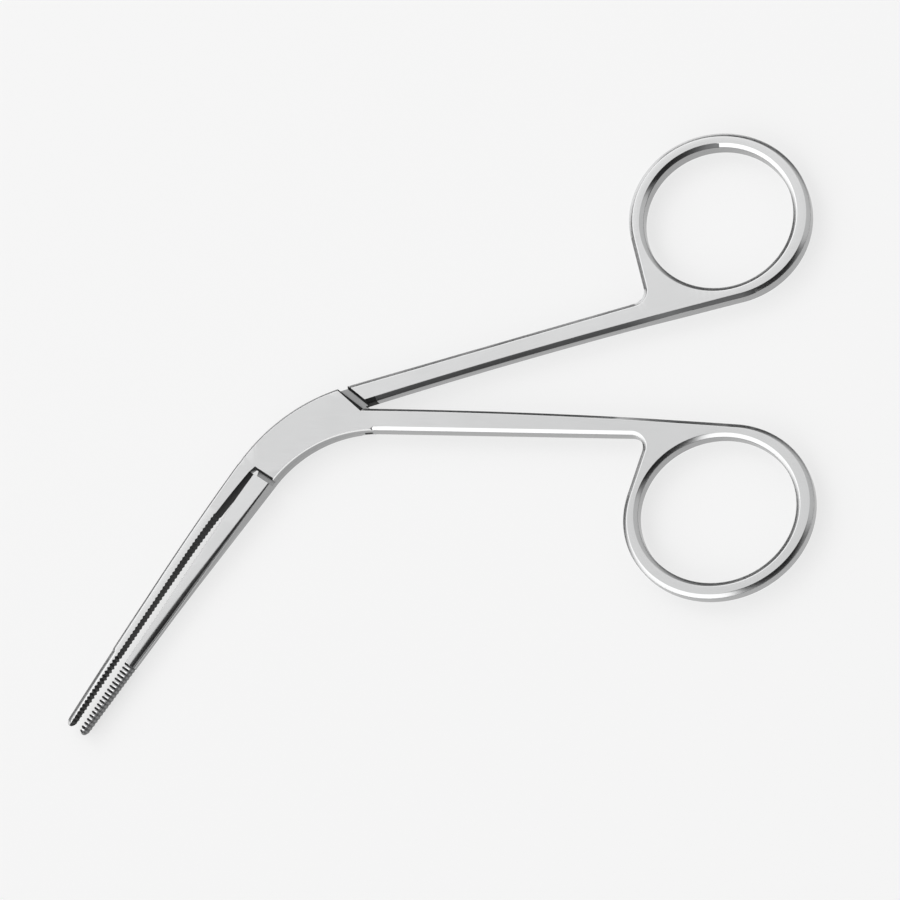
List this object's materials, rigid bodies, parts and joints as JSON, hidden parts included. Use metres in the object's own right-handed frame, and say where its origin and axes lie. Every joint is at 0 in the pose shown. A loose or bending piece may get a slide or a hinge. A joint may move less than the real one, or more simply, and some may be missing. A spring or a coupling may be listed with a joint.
{
  "type": "nasal dressing forceps",
  "caption": "Angled nasal dressing forceps: two lapped halves on a screw, oval finger rings, straight shanks and long slim serrated jaws.",
  "frame": {"origin": "on the joint screw's axis, at the plane of the two halves' back faces", "axes": "+Z along the joint screw towards the front face, where the front half laps over the rear half; +X towards the finger rings between the two handles; the jaws point towards -X and -Y"},
  "size_m": [0.1184, 0.0945, 0.0033],
  "materials": {
    "satin_steel": "satin",
    "screw_steel": "satin"
  },
  "bodies": {
    "front": {"front_half": "satin_steel", "joint_screw": "screw_steel"},
    "rear": {"rear_half": "satin_steel"}
  },
  "joints": [
    {"name": "lap_hinge", "type": "hinge", "parent": "front", "child": "rear", "pos_m": [0, 0, 0], "axis": [0, 0, 1], "range_deg": [-1.7, 50]}
  ]
}
